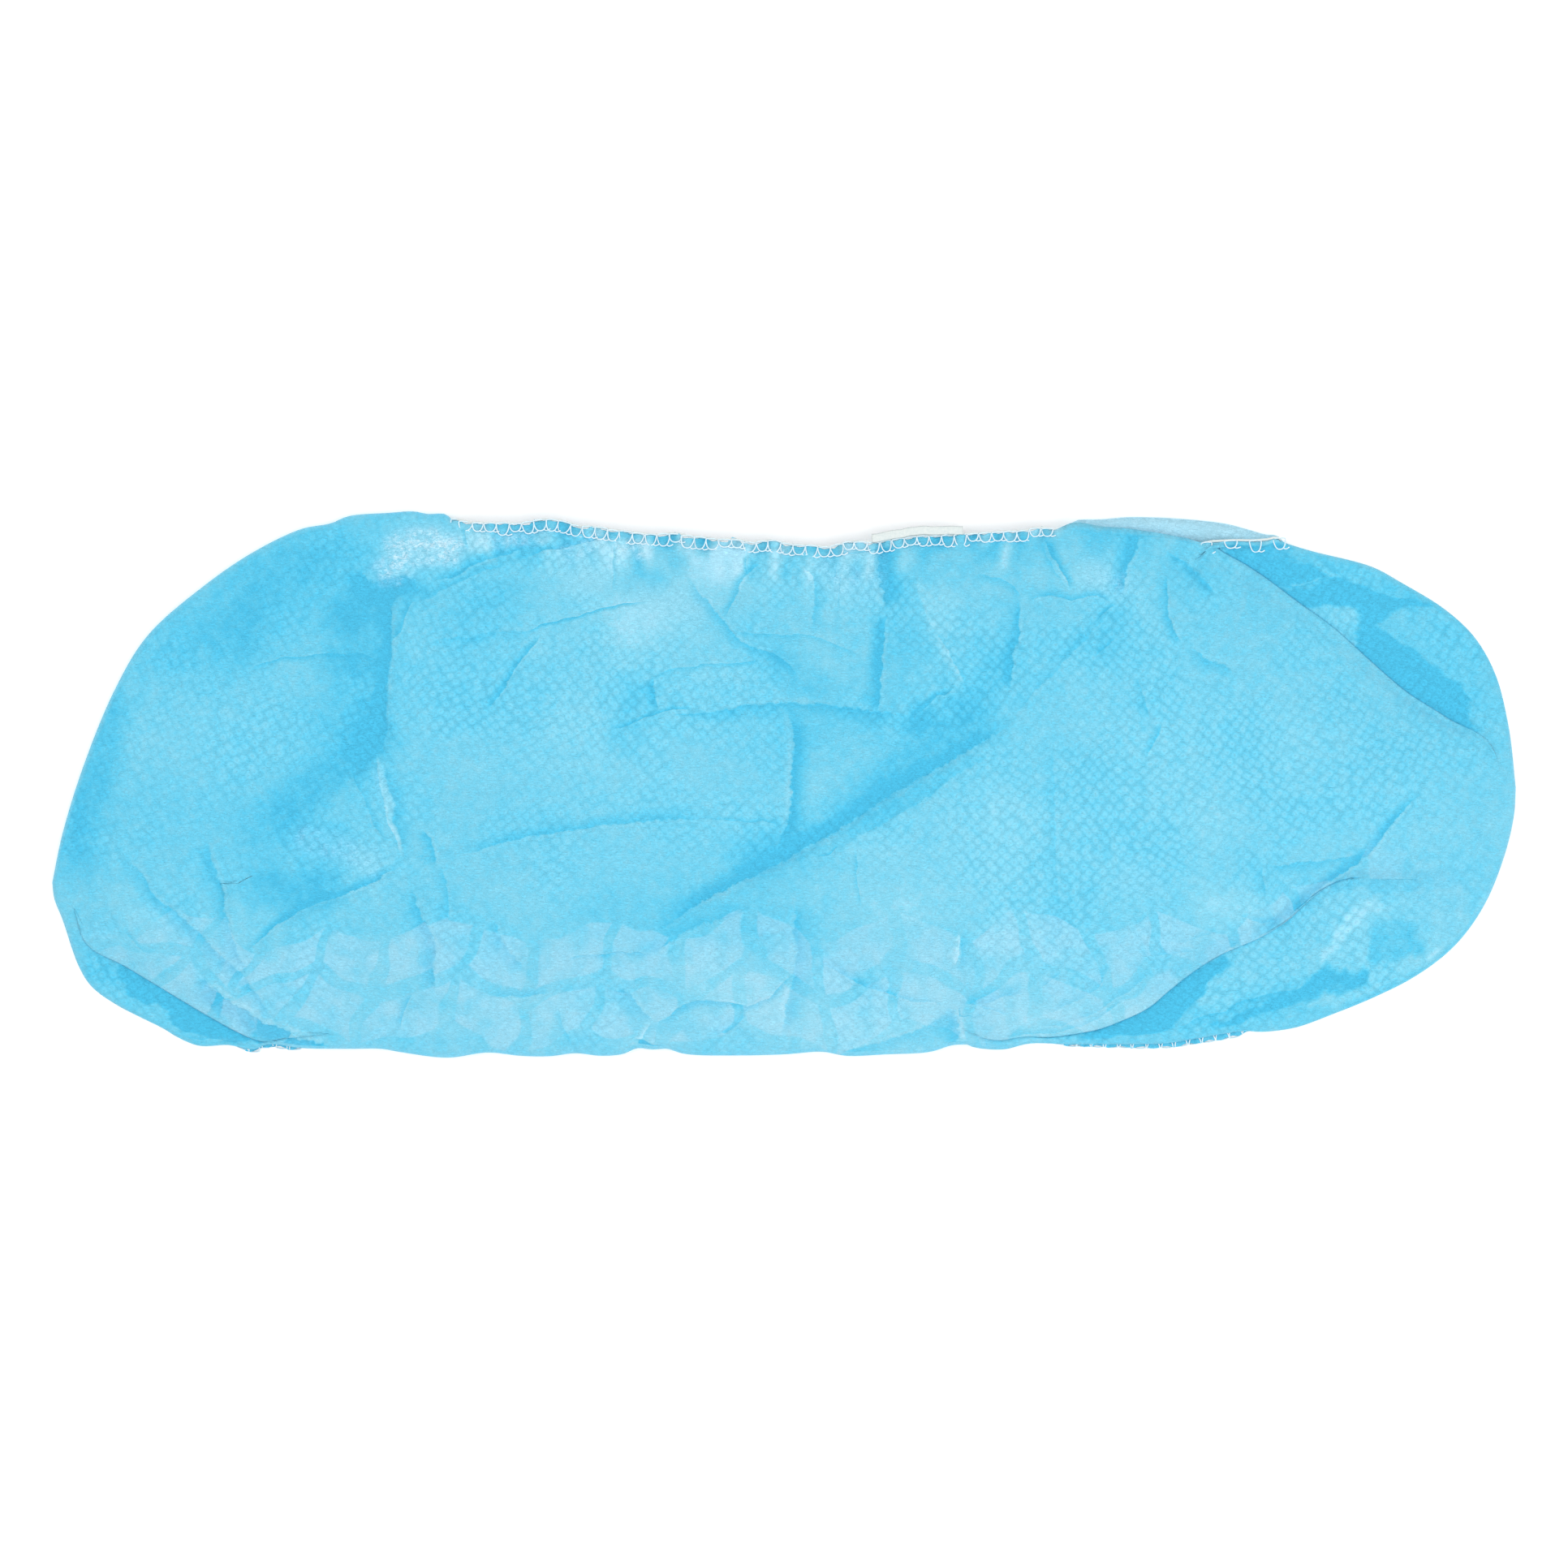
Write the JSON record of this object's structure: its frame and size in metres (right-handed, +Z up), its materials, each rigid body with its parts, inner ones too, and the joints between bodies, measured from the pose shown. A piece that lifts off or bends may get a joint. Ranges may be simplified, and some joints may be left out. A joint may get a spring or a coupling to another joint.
{
  "type": "disposable shoe cover",
  "caption": "Nonwoven overshoe with an elasticated mouth, lying flat on its side; it is stretched over a shoe to keep a floor clean.",
  "frame": {"origin": "centre of the bounding box, on the ground that the cover lies on", "axes": "+X from toe to heel, +Y from the sole seam to the mouth, +Z up from the ground"},
  "size_m": [0.4, 0.1496, 0.0183],
  "materials": {
    "nonwoven": "soft spunbond polypropylene, point-bonded, matt with a faint sheen",
    "elastic": "thin covered elastic, matt",
    "thread": "white polyester overlock thread, matt"
  },
  "bodies": {
    "root": {"cover_shell": "nonwoven", "mouth_elastic": "elastic", "elastic_tail": "elastic", "sole_seam": "thread"}
  },
  "joints": []
}
